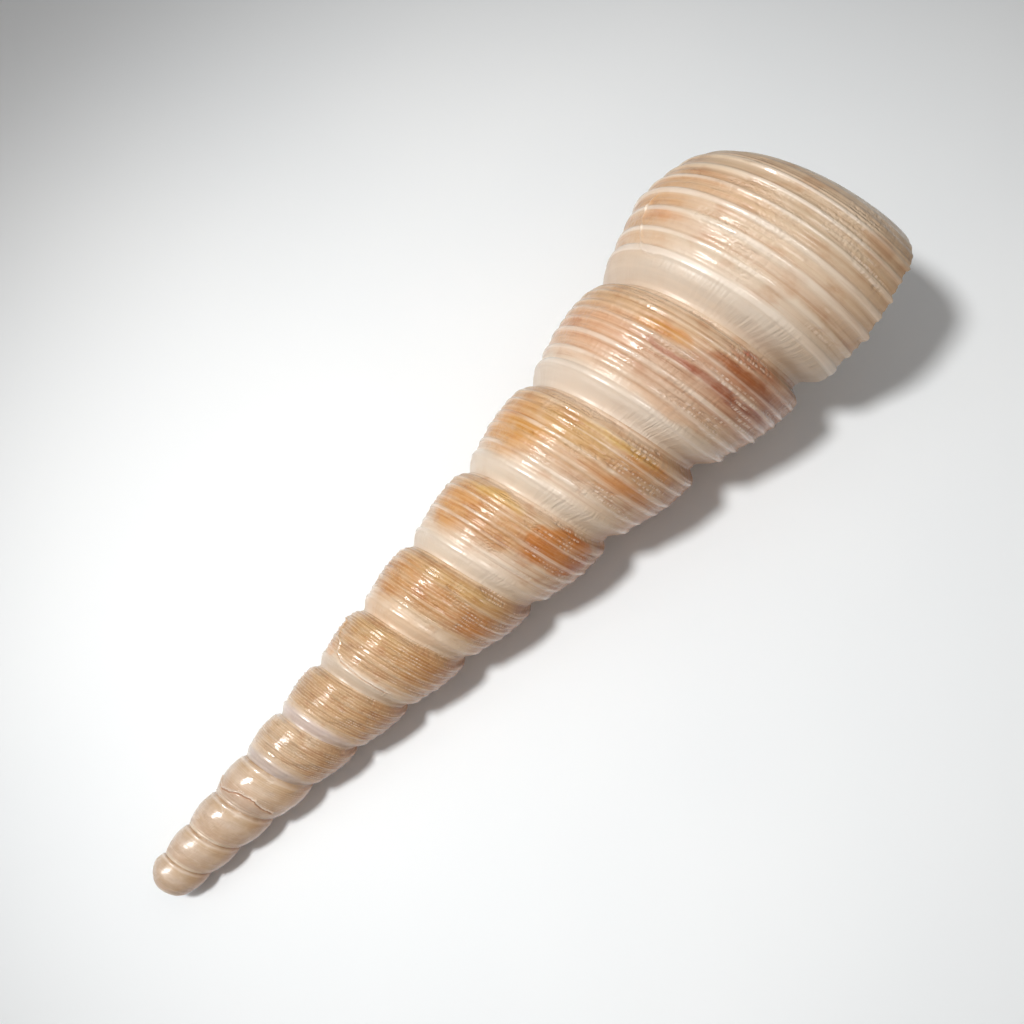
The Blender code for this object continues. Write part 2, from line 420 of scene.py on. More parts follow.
class Sheets:
    """Collects grids of points into one mesh with its attributes."""

    def __init__(self):
        self.points = []
        self.values = {name: [] for name in ATTRIBUTES}
        self.faces = []
        self.slots = []
        self.count = 0

    def add(self, points, slot, closed=False, **values):
        shape = points.shape[:2]
        self.points.append(points.reshape(-1, 3))
        for name in ATTRIBUTES:
            self.values[name].append(np.broadcast_to(values.get(name, 0.0), shape).ravel())
        number = self.count + np.arange(shape[0] * shape[1]).reshape(shape)
        self.count += number.size
        if closed:
            number = np.concatenate((number, number[:, :1]), axis=1)
        corners = (number[:-1, :-1], number[:-1, 1:], number[1:, 1:], number[1:, :-1])
        faces = np.stack([corner.ravel() for corner in corners], axis=1)
        self.faces.append(faces)
        self.slots.append(np.full(len(faces), slot))

    def object(self, name, matrix, materials):
        points = np.concatenate(self.points)
        faces = np.concatenate(self.faces)
        slots = np.concatenate(self.slots)
        spread = points[faces].max(axis=1) - points[faces].min(axis=1)
        kept = spread.max(axis=1) > NO_SPREAD
        turned = points @ np.array(matrix.to_3x3()).T + np.array(matrix.translation)
        mesh = bpy.data.meshes.new(name)
        mesh.from_pydata(turned.tolist(), [], faces[kept].tolist())
        for material in materials:
            mesh.materials.append(material)
        mesh.polygons.foreach_set("material_index", slots[kept].astype(np.int32))
        for attribute, values in self.values.items():
            data = mesh.attributes.new(attribute, "FLOAT", "POINT").data
            data.foreach_set("value", np.concatenate(values).astype(np.float32))
        mesh.shade_smooth()
        item = bpy.data.objects.new(name, mesh)
        bpy.context.scene.collection.objects.link(item)
        return item


def covered(turn):
    """1 where the next whorl hides the wall's lower edge, and 0 near the lip."""
    return 1.0 - fade_in(turn, LIP_TURN - 1.0, LIP_TURN - 1.0 + COVER_TURNS)


def wall_points(turn, place):
    """The wall with its cords and scars, the worn tip and the ragged edge of the lip."""
    near_lip = fade_in(turn, LIP_TURN - RAGGED_TURNS, LIP_TURN)
    ragged = sum(reach * lattice_noise(place, 0.5, grain) for reach, grain in RAGGED)
    moved = turn + near_lip * ragged * smooth_step(place / RAGGED_PLACES)
    here, along, plain, height = wall_surface(moved, place)
    scar = scar_relief(here, place)
    relief = cord_relief(here, place) + scar
    at_edge = covered(turn) * fade_in(place, TUCK_FROM, TUCK_AT)
    tucked = covered(turn) * (place > TUCKED_PLACE)
    shown = smooth_step(place / AT_SUTURE) * (1.0 - at_edge)
    along = along + height * TUCK * tucked
    radius = plain + height * (relief * shown - TUCK * tucked)
    along, radius = worn(along, radius)
    return at_meridian(here, along, radius), here, relief, scar


def base_outline(step):
    """How far the underside lies beyond the wall's edge, and how much narrower it is."""
    even = np.linspace(0.0, 1.0, len(BASE_OUTLINE))
    return (np.interp(step, even, BASE_OUTLINE[:, column]) for column in (0, 1))


def base_points(turn, step):
    """The underside, with its finer cords. step runs from the wall's edge (0) to the axis (1)."""
    one = np.ones_like(step)
    here, along, plain, height = wall_surface(turn, one)
    beyond, narrowing = base_outline(step)
    relief = np.zeros_like(step)
    for centre in BASE_CORDS:
        away = (1.0 + beyond - centre) / BASE_CORD_WIDTH
        relief += BASE_CORD_HEIGHT * np.exp(-away ** 2)
    out = height * relief * (1.0 - smooth_step(step / BASE_CORDS_END))
    radius = (plain + height * cord_relief(here, one)) * narrowing
    points = at_meridian(here, along + height * beyond + out, radius + out * 0.5)
    return points, here, beyond, relief


def tube_loop(turn, place, step):
    """The plain section of the last whorl as a closed loop."""
    here, along, plain, _ = wall_surface(turn, place)
    wall = at_meridian(here, along, plain)
    beyond, narrowing = base_outline(step)
    under = []
    for shift in (0.0, -1.0):
        here, along, plain, height = wall_surface(turn + shift, np.ones_like(step))
        under.append(at_meridian(here, along + height * beyond, plain * narrowing))
    return np.concatenate((wall, under[0][1:], under[1][-2:0:-1]))


def shrunk(loop, scale):
    centre = loop.mean(axis=0)
    return centre + (loop - centre) * scale


def softened(loop, passes):
    for _ in range(passes):
        loop = 0.5 * loop + 0.25 * (np.roll(loop, 1, axis=0) + np.roll(loop, -1, axis=0))
    return loop


def throat_loops(place, step):
    """Loops from the lip's outer edge round its thin rim and back into the last whorl."""
    outer_wall = wall_points(np.full_like(place, LIP_TURN), place)[0]
    outer_base = base_points(np.full_like(step, LIP_TURN), step)[0]
    inner_base = base_points(np.full_like(step, LIP_TURN - 1.0), step)[0]
    rim = np.concatenate((outer_wall, outer_base[1:], inner_base[-2:0:-1]))
    inner_rim = rim + (shrunk(rim, RIM_SCALE) - rim) * RIM_REACH
    first = shrunk(tube_loop(LIP_TURN - THROAT_AT, place, step), THROAT_SCALE)
    first = softened(first, RIM_PASSES)
    loops = [rim, inner_rim, (1.0 - THROAT_SHARE) * inner_rim + THROAT_SHARE * first, first]
    for row in range(1, THROAT_ROWS):
        part = row / THROAT_ROWS
        back = THROAT_TURNS * part ** ROW_SPREAD
        thick = smooth_step(back / THICK_TURNS)
        scale = (THROAT_SCALE - THICKER_BY * thick) * (1.0 - END_SCALE * part ** END_POWER)
        loop = shrunk(tube_loop(LIP_TURN - back, place, step), scale)
        loops.append(softened(loop, RIM_PASSES + int(THROAT_PASSES * thick)))
    return np.stack(loops)


def make_shell(materials):
    sheets = Sheets()
    place = wall_places()
    turns = rows_of_turns()
    points, here, relief, scar = wall_points(turns[:, None], place[None, :])
    sheets.add(points, 0, turn=here, place=place[None, :],
               crest=(relief + CORD_DEPTH) / CREST_FULL, scar=scar / SCAR_FULL)

    step = np.linspace(0.0, 1.0, BASE_POINTS)
    base_turns = turns[turns >= LIP_TURN - 1.0 - SAME_TURN]
    grid_turn, grid_step = np.meshgrid(base_turns, step, indexing="ij")
    points, here, beyond, relief = base_points(grid_turn, grid_step)
    sheets.add(points, 0, turn=here, place=1.0 + beyond + BASE_PLACE_GAIN * grid_step,
               crest=relief / CREST_FULL)

    loops = throat_loops(place, step)
    around = np.linspace(0.0, 1.0, loops.shape[1])[None, :]
    depth = np.linspace(0.0, 1.0, loops.shape[0])[:, None]
    sheets.add(loops, 1, closed=True, turn=depth, place=around)
    return sheets.object("shell_surface", axis_matrix(), materials)


# Materials

def linear(red, green, blue):
    """A display colour, each channel from 0 to 255, as a linear colour."""
    def channel(value):
        value = value / 255.0
        if value <= 0.04045:
            return value / 12.92
        return ((value + 0.055) / 1.055) ** 2.4
    return (channel(red), channel(green), channel(blue), 1.0)


class Nodes:
    """Short names for the nodes of one material."""

    def __init__(self, material):
        material.use_nodes = True
        self.tree = material.node_tree
        self.shader = self.tree.nodes["Principled BSDF"]

    def put(self, socket, value):
        if isinstance(value, bpy.types.NodeSocket):
            self.tree.links.new(value, socket)
        else:
            socket.default_value = value

    def shade(self, **values):
        """Sets the shader's sockets, whose names are written with underscores."""
        for name, value in values.items():
            self.put(self.shader.inputs[name.replace("_", " ")], value)

    def node(self, kind, inputs=(), **settings):
        made = self.tree.nodes.new(kind)
        for name, value in settings.items():
            setattr(made, name, value)
        for index, value in inputs:
            self.put(made.inputs[index], value)
        return made

    def attribute(self, name):
        return self.node("ShaderNodeAttribute", attribute_name=name).outputs["Fac"]

    def math(self, operation, *values):
        return self.node("ShaderNodeMath", enumerate(values), operation=operation).outputs[0]

    def times(self, first, *others):
        for other in others:
            first = self.math("MULTIPLY", first, other)
        return first

    def plus(self, first, *others):
        for other in others:
            first = self.math("ADD", first, other)
        return first

    def vector(self, operation, *values):
        return self.node("ShaderNodeVectorMath", enumerate(values), operation=operation)

    def combine(self, x, y, z=0.0):
        return self.node("ShaderNodeCombineXYZ", ((0, x), (1, y), (2, z))).outputs[0]

    def noise(self, coordinates, scale=1.0, detail=2.0, dimensions="2D", output="Fac"):
        return self.node("ShaderNodeTexNoise", (
            ("Vector", coordinates), ("Scale", scale), ("Detail", detail)),
            noise_dimensions=dimensions).outputs[output]

    def remap(self, value, low, high, to_low=0.0, to_high=1.0):
        return self.node("ShaderNodeMapRange", (
            (0, value), (1, low), (2, high), (3, to_low), (4, to_high)),
            interpolation_type="SMOOTHSTEP").outputs[0]

    def mix(self, factor, first, second, blend="MIX"):
        made = self.node("ShaderNodeMix", (), data_type="RGBA", blend_type=blend)
        self.put(made.inputs[0], factor)
        self.put(made.inputs[6], first)
        self.put(made.inputs[7], second)
        return made.outputs[2]

    def darken(self, factor, first, shade):
        return self.mix(factor, first, shade, "MULTIPLY")

    def ramp(self, value, stops):
        made = self.node("ShaderNodeValToRGB", ((0, value),))
        elements = made.color_ramp.elements
        while len(elements) < len(stops):
            elements.new(0.5)
        for element, (position, colour) in zip(elements, stops):
            element.position = position
            element.color = colour
        return made.outputs[0]


# Colours by place
PLACE_SPAN = 1.40             # the ramps' whole length in places
LAST_WHORL_RAMP = (
    (0.00, linear(212, 188, 164)),
    (0.06, linear(215, 196, 176)),
    (0.16, linear(217, 199, 180)),
    (0.215, linear(224, 208, 189)),
    (0.27, linear(222, 199, 175)),
    (0.345, linear(228, 207, 182)),
    (0.41, linear(221, 194, 167)),
    (0.485, linear(231, 210, 186)),
    (0.55, linear(218, 190, 160)),
    (0.615, linear(229, 207, 182)),
    (0.675, linear(214, 184, 152)),
    (0.745, linear(224, 201, 174)),
    (0.805, linear(211, 182, 150)),
    (0.865, linear(222, 199, 172)),
    (0.92, linear(208, 181, 150)),
    (0.965, linear(220, 197, 170)),
    (1.03, linear(200, 172, 142)),
    (1.20, linear(212, 190, 164)),
    (1.38, linear(224, 208, 186)),
)
SPIRE_RAMP = (
    (0.00, linear(220, 196, 172)),
    (0.05, linear(223, 205, 184)),
    (0.15, linear(223, 204, 184)),
    (0.20, linear(228, 208, 186)),
    (0.25, linear(224, 199, 174)),
    (0.31, linear(225, 198, 171)),
    (0.38, linear(217, 187, 158)),
    (0.455, linear(223, 193, 163)),
    (0.53, linear(213, 176, 138)),
    (0.605, linear(218, 182, 144)),
    (0.69, linear(209, 169, 128)),
    (0.765, linear(217, 180, 140)),
    (0.82, linear(209, 171, 130)),
    (0.88, linear(217, 185, 150)),
    (0.93, linear(211, 178, 144)),
    (0.97, linear(220, 193, 166)),
    (1.02, linear(214, 187, 160)),
)
TIP_RAMP = (
    (0.00, linear(206, 178, 148)),
    (0.05, linear(226, 204, 178)),
    (0.12, linear(204, 170, 140)),
    (0.35, linear(200, 168, 138)),
    (0.60, linear(208, 180, 154)),
    (0.86, linear(202, 170, 136)),
    (0.92, linear(224, 200, 176)),
    (0.97, linear(184, 148, 114)),
)

# Where one look passes into the next, in turns
LAST_COLOURS = (-1.15, -0.75)
TIP_COLOURS = (-7.3, -8.3)
LAST_LOOK = (-0.9, -0.5)

# Blotches: colour, (turn, place), half their size in turns and places, softness, strength
BLOTCHES = (
    # last whorl: tan and orange above, paler below
    (linear(226, 184, 142), (-0.20, 0.48), (0.085, 0.34), 0.6, 0.7),
    (linear(224, 164, 116), (-0.15, 0.44), (0.035, 0.030), 0.7, 0.7),
    (linear(222, 176, 128), (-0.19, 0.56), (0.060, 0.035), 0.7, 0.7),
    (linear(222, 182, 140), (-0.13, 0.70), (0.10, 0.10), 0.6, 0.5),
    (linear(200, 176, 146), (0.02, 0.82), (0.06, 0.16), 0.6, 0.5),
    # whorl before the last
    (linear(222, 203, 184), (-1.00, 0.09), (0.26, 0.13), 0.4, 0.85),
    (linear(226, 176, 138), (-1.13, 0.50), (0.08, 0.20), 0.6, 0.8),
    (linear(222, 178, 140), (-0.96, 0.27), (0.06, 0.05), 0.6, 0.6),
    (linear(206, 170, 142), (-0.97, 0.44), (0.12, 0.18), 0.6, 0.75),
    (linear(198, 160, 132), (-0.98, 0.64), (0.10, 0.12), 0.6, 0.8),
    (linear(214, 152, 64), (-1.052, 0.705), (0.030, 0.032), 0.7, 0.65),
    (linear(214, 148, 58), (-1.030, 0.735), (0.028, 0.028), 0.7, 0.75),
    (linear(210, 142, 62), (-1.008, 0.765), (0.022, 0.024), 0.7, 0.65),
    (linear(200, 146, 114), (-0.87, 0.68), (0.090, 0.25), 0.5, 0.75),
    (linear(184, 130, 104), (-1.000, 0.606), (0.055, 0.026), 0.4, 0.85),
    (linear(164, 96, 66), (-0.915, 0.604), (0.080, 0.044), 0.35, 0.95),
    (linear(170, 102, 56), (-0.905, 0.775), (0.065, 0.050), 0.35, 0.95),
    (linear(188, 128, 94), (-0.915, 0.885), (0.050, 0.040), 0.5, 0.8),
    (linear(182, 94, 70), (-0.930, 0.940), (0.012, 0.020), 0.5, 0.8),
    # third whorl from the lip
    (linear(216, 158, 92), (-2.135, 0.52), (0.070, 0.26), 0.45, 0.9),
    (linear(208, 148, 70), (-2.115, 0.53), (0.038, 0.09), 0.5, 0.8),
    (linear(202, 158, 98), (-2.04, 0.72), (0.070, 0.13), 0.5, 0.85),
    (linear(204, 160, 118), (-1.985, 0.47), (0.050, 0.12), 0.6, 0.9),
    (linear(208, 144, 86), (-1.90, 0.52), (0.065, 0.09), 0.5, 0.9),
    (linear(206, 144, 80), (-1.905, 0.79), (0.060, 0.075), 0.5, 0.9),
    (linear(214, 174, 96), (-1.96, 0.83), (0.060, 0.035), 0.5, 0.7),
    (linear(226, 202, 178), (-1.95, 0.30), (0.09, 0.12), 0.6, 0.7),
    # fourth
    (linear(216, 158, 92), (-3.125, 0.58), (0.065, 0.26), 0.4, 0.9),
    (linear(214, 168, 86), (-3.07, 0.86), (0.060, 0.06), 0.5, 0.8),
    (linear(192, 138, 84), (-3.02, 0.56), (0.070, 0.20), 0.5, 0.9),
    (linear(204, 156, 106), (-3.02, 0.74), (0.055, 0.10), 0.6, 0.8),
    (linear(228, 206, 184), (-2.93, 0.24), (0.11, 0.14), 0.5, 0.8),
    (linear(206, 134, 66), (-2.890, 0.71), (0.078, 0.245), 0.10, 0.95),
    (linear(192, 118, 52), (-2.930, 0.60), (0.030, 0.14), 0.6, 0.7),
    # fifth
    (linear(222, 186, 150), (-4.08, 0.11), (0.20, 0.13), 0.4, 0.8),
    (linear(214, 160, 100), (-4.13, 0.56), (0.070, 0.27), 0.5, 0.85),
    (linear(204, 150, 94), (-4.01, 0.54), (0.060, 0.18), 0.5, 0.85),
    (linear(206, 142, 78), (-3.91, 0.53), (0.060, 0.14), 0.5, 0.9),
    (linear(214, 174, 112), (-3.98, 0.84), (0.10, 0.10), 0.5, 0.8),
    # sixth
    (linear(226, 174, 126), (-5.18, 0.28), (0.030, 0.10), 0.5, 0.8),
    (linear(205, 183, 160), (-5.02, 0.09), (0.25, 0.13), 0.4, 0.8),
    (linear(206, 170, 134), (-5.03, 0.42), (0.12, 0.17), 0.5, 0.8),
    (linear(208, 170, 118), (-5.07, 0.80), (0.10, 0.14), 0.5, 0.8),
    (linear(208, 160, 104), (-4.91, 0.72), (0.075, 0.24), 0.5, 0.85),
    # seventh and eighth
    (linear(208, 187, 178), (-6.00, 0.11), (0.25, 0.11), 0.4, 0.85),
    (linear(204, 168, 130), (-6.03, 0.55), (0.18, 0.26), 0.6, 0.8),
    (linear(206, 166, 122), (-5.90, 0.60), (0.08, 0.34), 0.6, 0.7),
    (linear(198, 178, 168), (-7.00, 0.11), (0.25, 0.12), 0.4, 0.85),
    (linear(196, 164, 132), (-7.00, 0.55), (0.20, 0.30), 0.6, 0.8),
    (linear(198, 160, 122), (-6.89, 0.60), (0.08, 0.38), 0.6, 0.6),
    (linear(190, 158, 134), (-8.00, 0.18), (0.25, 0.22), 0.6, 0.7),
)

# Colours laid over them
CLOUD_SHADE = linear(190, 132, 78)
FURROW_SHADE = linear(196, 146, 104)
CREST_PALE = linear(244, 226, 208)
OLDER_SHADE = linear(240, 230, 212)
# Painted glints: pale dots along the fine threads of the smaller whorls
PAINTED_GLINT_DOTS = linear(242, 212, 178)
# Painted glints: pale hatching in the woven patches low on the side
PAINTED_GLINT_HATCH = linear(250, 232, 216)
# Painted shade: the underside darker, and its lowest part warmer, where the light falls less
UNDERSIDE_PAINTED_SHADE = linear(234, 223, 210)
UNDERSIDE_PAINTED_WARM_SHADE = linear(246, 224, 212)
SCAR_PALE = linear(250, 232, 214)
SCAR_SHADE = linear(206, 160, 124)
POLE_COLOUR = linear(216, 196, 172)

# Streaks: bumps round and across, detail, then from, to, strength and colour of the paler
# ones and of the darker ones
STREAKS = (
    (0.9, 34.0, 3.0, (0.50, 0.72, 0.20), linear(234, 212, 188),
     (0.46, 0.28, 0.32), linear(206, 158, 114)),
    (3.6, 7.0, 4.0, (0.50, 0.74, 0.28), linear(228, 204, 180),
     (0.48, 0.25, 0.40), linear(214, 168, 126)),
)

FINE_LINES = 23.0             # pale dotted lines across a smaller whorl
THREADS = 40.0                # fine threads across a whorl
THREAD_WOBBLE = 7.0           # how far the threads wander, in radians
BLOTCH_WARP = (0.30, 0.12, 0.0)
BUMP_STRENGTH = 0.8
BUMP_DISTANCE = 0.00016
GROWTH_HEIGHT = 0.9
BEAD_HEIGHT = 1.1
PIT_HEIGHT = 0.12
CREAM_WRINKLES = 0.5
COAT_BUMP = 0.12              # share of the bump that the coat follows
COAT_ROUGHNESS = 0.02


class ShellOutside:
    """The material of the outer surface, from the mesh's turn, place, crest and scar."""

    def __init__(self):
        self.material = bpy.data.materials.new("shell_outside")
        nodes = self.nodes = Nodes(self.material)
        self.turn, self.place, self.crest, self.scar = (nodes.attribute(name) for name in ATTRIBUTES)
        self.round_way = nodes.times(self.turn, ROUND_TO_ALONG)
        self.coordinates = nodes.combine(self.round_way, self.place)
        angle = nodes.times(self.turn, 2.0 * math.pi)
        self.low = nodes.math("SINE", angle)
        self.high = nodes.math("COSINE", angle)
        self.beads = self.noise(30.0, 42.0, detail=1.0)
        self.patches = self.noise(2.2, 7.0)
        self.wobble = nodes.times(self.noise(1.3, 4.0), THREAD_WOBBLE)
        self.outer = nodes.times(nodes.remap(self.place, 0.20, 0.35), nodes.remap(self.turn, -9.0, -7.0))
        self.woven = nodes.times(nodes.remap(self.patches, 0.50, 0.62), self.outer)
        self.band = nodes.times(nodes.remap(self.place, 0.20, 0.42), nodes.remap(self.place, 1.05, 0.9))
        self.pole = nodes.remap(self.place, 1.06, 1.28)
        colour = self.colour_by_place()
        colour = self.with_blotches(colour)
        colour = self.with_streaks(colour)
        colour = self.with_fine_lines(colour)
        colour = self.with_shades(colour)
        bump = self.bump()
        nodes.shade(Base_Color=colour, Normal=bump)
        self.gloss(bump)

    def noise(self, round_bumps, across_bumps, scale=1.0, detail=2.0):
        """Noise stretched along the spiral: bumps for each whorl height round and across."""
        nodes = self.nodes
        at = nodes.combine(nodes.times(self.round_way, round_bumps), nodes.times(self.place, across_bumps))
        return nodes.noise(at, scale, detail)

    def threads(self, count):
        """A wave from -1 to 1 for each of so many threads across a whorl."""
        phase = self.nodes.math("MULTIPLY_ADD", self.place, 2.0 * math.pi * count, self.wobble)
        return self.nodes.math("SINE", phase)

    def colour_by_place(self):
        nodes = self.nodes
        wander = self.noise(0.6, 5.0)
        shifted = nodes.math("MULTIPLY_ADD", wander, 0.05, nodes.plus(self.place, -0.025))
        along_ramp = nodes.math("DIVIDE", shifted, PLACE_SPAN)

        def by_place(stops):
            return nodes.ramp(along_ramp, [(place / PLACE_SPAN, colour) for place, colour in stops])

        last = nodes.remap(self.turn, *LAST_COLOURS)
        colour = nodes.mix(last, by_place(SPIRE_RAMP), by_place(LAST_WHORL_RAMP))
        return nodes.mix(nodes.remap(self.turn, *TIP_COLOURS), colour, by_place(TIP_RAMP))

    def with_blotches(self, colour):
        """Blotches with uneven edges, and soft clouds on the side that the photograph hides."""
        nodes = self.nodes
        uneven = nodes.noise(self.coordinates, 3.0, 3.0, output="Color")
        centred = nodes.vector("SUBTRACT", uneven, (0.5, 0.5, 0.5)).outputs[0]
        warp = nodes.vector("MULTIPLY", centred, BLOTCH_WARP).outputs[0]
        warped = nodes.vector("ADD", self.coordinates, warp).outputs[0]
        for blotch, (turn, place), (turn_reach, place_reach), softness, strength in BLOTCHES:
            scale = (1.0 / (turn_reach * ROUND_TO_ALONG), 1.0 / place_reach, 1.0)
            offset = (-turn / turn_reach, -place / place_reach, 0.0)
            away = nodes.vector("MULTIPLY_ADD", warped, scale, offset).outputs[0]
            distance = nodes.vector("LENGTH", away).outputs["Value"]
            mask = nodes.remap(distance, 1.0 - softness, 1.0 + softness, strength, 0.0)
            colour = nodes.mix(mask, colour, blotch)
        clouds = nodes.remap(self.noise(0.55, 1.6, 1.1, 3.0), 0.48, 0.70, 0.0, 0.55)
        hidden = nodes.remap(self.high, 0.1, -0.4)
        return nodes.darken(nodes.times(clouds, self.band, hidden), colour, CLOUD_SHADE)

    def with_streaks(self, colour):
        """Fine streaks along the spiral, and pale crests over darker furrows."""
        nodes = self.nodes
        beyond_cream = nodes.times(
            nodes.remap(self.place, 0.17, 0.30, 0.15, 1.0),
            nodes.remap(self.turn, -8.0, -6.6, 0.2, 1.0))
        for round_bumps, across_bumps, detail, paler, pale, darker, dark in STREAKS:
            streak = self.noise(round_bumps, across_bumps, detail=detail)
            start, end, strength = paler
            colour = nodes.mix(nodes.remap(streak, start, end, 0.0, strength), colour, pale)
            start, end, strength = darker
            darker_by = nodes.times(nodes.remap(streak, start, end, 0.0, strength), beyond_cream)
            colour = nodes.darken(darker_by, colour, dark)
        furrow = nodes.remap(self.crest, 0.35, 0.05, 0.0, 0.16)
        colour = nodes.darken(nodes.times(furrow, self.band), colour, FURROW_SHADE)
        shown = nodes.plus(
            nodes.remap(self.noise(1.4, 3.0), 0.35, 0.62, 0.10, 0.50),
            nodes.remap(self.turn, *LAST_LOOK, 0.0, 0.25))
        shown = nodes.times(shown, nodes.remap(self.turn, -5.0, -2.5, 0.45, 1.0))
        pale = nodes.times(nodes.remap(self.crest, 0.50, 0.95), shown)
        return nodes.mix(pale, colour, CREST_PALE)

    def with_fine_lines(self, colour):
        """Painted glints: pale dotted lines along the threads of the smaller whorls, and pale hatched
        patches low on the side.
        """
        nodes = self.nodes
        fine = self.threads(FINE_LINES)
        older = nodes.times(nodes.remap(self.turn, -2.8, -4.2), nodes.remap(self.turn, -7.4, -6.6))
        colour = nodes.darken(nodes.times(older, self.outer), colour, OLDER_SHADE)
        # Painted glints, as pale dots along the threads
        dotted_glints = nodes.times(
            nodes.remap(fine, 0.1, 0.9),
            nodes.remap(self.beads, 0.35, 0.60, 0.3, 1.0),
            nodes.remap(self.turn, -2.5, -5.0, 0.08, 0.42))
        colour = nodes.mix(nodes.times(dotted_glints, self.outer), colour, PAINTED_GLINT_DOTS)
        # Painted glints, as pale hatching in the woven patches low on the side
        glint_side = nodes.times(nodes.remap(self.low, 0.15, 0.45), nodes.remap(self.low, 1.0, 0.85))
        glint_strokes = nodes.remap(self.noise(34.0, 9.0, detail=1.0), 0.42, 0.60, 0.0, 0.60)
        glint_hatch = nodes.times(glint_strokes, nodes.remap(fine, -0.2, 0.7), self.woven, glint_side)
        return nodes.mix(glint_hatch, colour, PAINTED_GLINT_HATCH)

    def with_shades(self, colour):
        """Painted shade that darkens the underside and warms its lowest part, the scars' pale lines and
        dark furrows, and the base's middle.
        """
        nodes = self.nodes
        # Painted shade: darker on the underside of every whorl, and warmer at the very bottom of all but
        # the last
        colour = nodes.darken(nodes.remap(self.low, 0.20, 0.80), colour, UNDERSIDE_PAINTED_SHADE)
        painted_warm_shade = nodes.times(nodes.remap(self.low, 0.70, 1.0), nodes.remap(self.turn, -0.4, -0.6))
        colour = nodes.darken(painted_warm_shade, colour, UNDERSIDE_PAINTED_WARM_SHADE)
        colour = nodes.mix(nodes.remap(self.scar, 0.20, 0.90, 0.0, 0.50), colour, SCAR_PALE)
        colour = nodes.darken(nodes.remap(self.scar, -0.12, -0.60, 0.0, 0.70), colour, SCAR_SHADE)
        return nodes.mix(nodes.times(self.pole, 0.8), colour, POLE_COLOUR)

    def bump(self):
        """Relief too fine for the mesh: threads, growth lines, woven beads and small pits."""
        nodes = self.nodes
        threaded = nodes.times(nodes.remap(self.patches, 0.42, 0.58, 0.02, 0.09), self.outer)
        growth = self.noise(30.0, 6.0, detail=3.0)
        pits = nodes.noise(nodes.node("ShaderNodeTexCoord").outputs["Object"], 1400.0, 1.0, "3D")
        wrinkled = nodes.remap(self.noise(1.7, 5.0), 0.35, 0.65, 0.10, 1.0)
        cream = nodes.times(nodes.remap(self.place, 0.26, 0.16), nodes.remap(self.low, 0.0, 0.4))
        wrinkled = nodes.plus(wrinkled, nodes.times(cream, CREAM_WRINKLES))
        height = nodes.plus(
            nodes.times(self.threads(THREADS), threaded),
            nodes.times(growth, wrinkled, GROWTH_HEIGHT),
            nodes.times(self.beads, self.woven, BEAD_HEIGHT),
            nodes.times(pits, PIT_HEIGHT))
        height = nodes.times(height, nodes.math("SUBTRACT", 1.0, self.pole))
        return nodes.node("ShaderNodeBump", (
            ("Strength", BUMP_STRENGTH), ("Distance", BUMP_DISTANCE), ("Height", height))).outputs[0]

    def gloss(self, bump):
        """A coat that shines most on the crests and is calmer than the bump under it."""
        nodes = self.nodes
        straight = nodes.node("ShaderNodeNewGeometry").outputs["Normal"]
        slope = nodes.vector("SUBTRACT", bump, straight).outputs[0]
        partly = nodes.vector("MULTIPLY_ADD", slope, (COAT_BUMP,) * 3, straight).outputs[0]
        in_furrows = nodes.remap(self.turn, -3.0, -5.0, 0.30, 0.60)
        polished = nodes.times(
            nodes.remap(self.crest, 0.15, 0.55, in_furrows, 1.0),
            nodes.remap(self.turn, *LAST_LOOK, 1.0, 0.75))
        rough = nodes.plus(
            nodes.remap(self.place, 0.17, 0.30, 0.20, 0.0),
            nodes.remap(self.turn, -8.2, -9.8, 0.0, 0.24),
            nodes.remap(self.turn, *LAST_LOOK, 0.0, 0.05),
            COAT_ROUGHNESS)
        nodes.shade(
            Roughness=nodes.remap(nodes.noise(self.coordinates, 7.0, 3.0), 0.3, 0.7, 0.34, 0.50),
            Specular_IOR_Level=0.35,
            Coat_Normal=nodes.vector("NORMALIZE", partly).outputs[0],
            Coat_Weight=polished,
            Coat_Roughness=rough)


def throat_material():
    """The smooth inside, darker further in. Here turn is the depth and place runs round."""
    material = bpy.data.materials.new("shell_inside")
    nodes = Nodes(material)
    around = nodes.attribute("place")
    depth = nodes.attribute("turn")

    def noise(deep_bumps, round_bumps, scale):
        at = nodes.combine(nodes.times(depth, deep_bumps), nodes.times(around, round_bumps))
        return nodes.noise(at, scale, 3.0)

    veins = nodes.remap(noise(2.0, 34.0, 1.0), 0.35, 0.75, 0.0, 0.45)
    colour = nodes.ramp(depth, (
        (0.0, linear(240, 226, 204)),
        (0.10, linear(236, 214, 186)),
        (0.45, linear(214, 172, 134)),
        (1.0, linear(170, 120, 84))))
    bump = nodes.node("ShaderNodeBump", (
        ("Strength", 0.3), ("Distance", 0.0002), ("Height", noise(9.0, 5.0, 3.0))))
    nodes.shade(
        Base_Color=nodes.mix(veins, colour, linear(206, 158, 116)),
        Normal=bump.outputs[0],
        Roughness=0.22,
        IOR=1.53,
        Coat_Weight=0.6,
        Coat_Roughness=0.08)
    return material


# Floor, light and camera

FLOOR_SIDE = 4.0
FLOOR_SQUARES = 8
ROOM_HORIZON = (0.05, 0.038, 0.030, 1.0)
ROOM_OVERHEAD = (0.41, 0.41, 0.41, 1.0)
LAMP_AT = (-0.074, 0.052, 0.29)
LAMP_AIM = (0.0046, -0.0130, 0.0)
LAMP_WATTS = 3.0
LAMP_RADIUS = 0.021
LAMP_CONE = 49.0
LAMP_COLOUR = (0.99, 1.0, 1.0)

